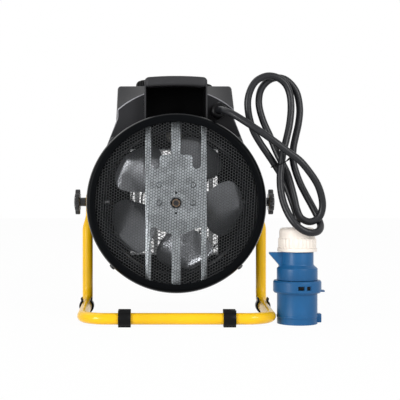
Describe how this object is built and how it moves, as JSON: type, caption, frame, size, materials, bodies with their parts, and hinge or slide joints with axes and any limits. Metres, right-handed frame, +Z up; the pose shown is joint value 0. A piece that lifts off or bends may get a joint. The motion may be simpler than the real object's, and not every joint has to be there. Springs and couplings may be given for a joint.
{
  "type": "forced air heater",
  "caption": "Portable round forced air heater that tilts on a bent tube stand, with hood, carrying handle, fan, heater block, clamp knobs, cord and plug.",
  "frame": {"origin": "on the floor, under the middle of the heater's bounding box without its free cord and plug", "axes": "+Z up, the rear intake faces -Y and warm air leaves towards +Y, +X to the right seen from behind"},
  "size_m": [0.2835, 0.2617, 0.282],
  "materials": {
    "yellow_tube": "glossy powder coat",
    "black_plastic": "fine matt grain",
    "black_sheet": "satin powder coat",
    "black_screws": "blackened steel",
    "galvanised_sheet": "zinc coated, matt",
    "steel": "bright zinc",
    "core_steel": "laminated, bare",
    "copper": "varnished wire",
    "bronze": "plain",
    "fan_aluminium": "pressed sheet",
    "heater_aluminium": "bare strip",
    "heat_resin": "moulded heat resistant resin",
    "hood_plastic": "fine matt grain",
    "lamp_orange": "translucent",
    "cord_rubber": "matt",
    "blue_plastic": "satin",
    "cream_plastic": "satin",
    "plated_brass": "plated"
  },
  "bodies": {
    "stand": {"stand_tube": "yellow_tube", "rear_foot_clips": "black_plastic", "front_foot_clips": "black_plastic", "plug_shroud": "blue_plastic", "plug_body": "blue_plastic", "plug_carrier": "black_plastic", "plug_pins": "plated_brass", "plug_nut": "cream_plastic", "cord_lead": "cord_rubber", "cord_hank": "cord_rubber", "hank_tie": "black_plastic"},
    "clamp_knob_left": {"left_clamp_knob": "black_plastic", "left_pivot_bolt": "steel"},
    "clamp_knob_right": {"right_clamp_knob": "black_plastic", "right_pivot_bolt": "steel"},
    "fan": {"rotor": "core_steel", "motor_shaft": "steel", "fan_wheel": "fan_aluminium", "fan_hub": "bronze", "fan_nut": "steel"},
    "selector_dial": {"selector_knob": "black_plastic", "selector_spindle": "steel"},
    "thermostat_dial": {"thermostat_knob": "black_plastic", "thermostat_spindle": "steel"},
    "housing": {"drum_shell": "black_sheet", "rear_ring": "black_sheet", "rear_mesh": "black_sheet", "rear_ring_screws": "black_screws", "front_ring": "black_sheet", "front_guard": "black_sheet", "front_ring_screws": "black_screws", "motor_bracket": "galvanised_sheet", "bracket_rivets": "steel", "motor_rear_cover": "galvanised_sheet", "motor_front_cover": "galvanised_sheet", "stator_core": "core_steel", "stator_windings": "copper", "motor_bushes": "bronze", "fan_duct": "black_sheet", "heater_plate": "galvanised_sheet", "heater_ends": "heat_resin", "heater_bars": "heater_aluminium", "heater_fins": "heater_aluminium", "heater_terminals": "bronze", "thermal_cutout": "heat_resin", "hood_shell": "hood_plastic", "control_panel": "black_plastic", "panel_screws": "black_screws", "selector_switch": "heat_resin", "thermostat_body": "galvanised_sheet", "pilot_lamp": "lamp_orange", "terminal_block": "heat_resin", "carry_handle": "hood_plastic", "gland_body": "black_plastic", "gland_nut": "black_plastic", "gland_seal": "cord_rubber", "pivot_nuts": "steel", "pivot_washers": "black_plastic"}
  },
  "joints": [
    {"name": "tilt", "type": "hinge", "parent": "stand", "child": "housing", "pos_m": [0, 0.02985, 0.1315], "axis": [1, 0, 0], "range_deg": [-20, 15], "deforming": ["cord_lead"]},
    {"name": "clamp_left", "type": "hinge", "parent": "housing", "child": "clamp_knob_left", "pos_m": [0, 0.02985, 0.1315], "axis": [1, 0, 0], "continuous": true},
    {"name": "clamp_right", "type": "hinge", "parent": "housing", "child": "clamp_knob_right", "pos_m": [0, 0.02985, 0.1315], "axis": [1, 0, 0], "continuous": true},
    {"name": "fan_spin", "type": "hinge", "parent": "housing", "child": "fan", "pos_m": [0, 0.02985, 0.1315], "axis": [0, 1, 0], "continuous": true},
    {"name": "selector_turn", "type": "hinge", "parent": "housing", "child": "selector_dial", "pos_m": [-0.035, 0.03966, 0.26245], "axis": [0, 0.2607, 0.9654], "range_deg": [-135, 0]},
    {"name": "thermostat_turn", "type": "hinge", "parent": "housing", "child": "thermostat_dial", "pos_m": [0.035, 0.03966, 0.26245], "axis": [0, 0.2607, 0.9654], "range_deg": [-270, 0]}
  ]
}
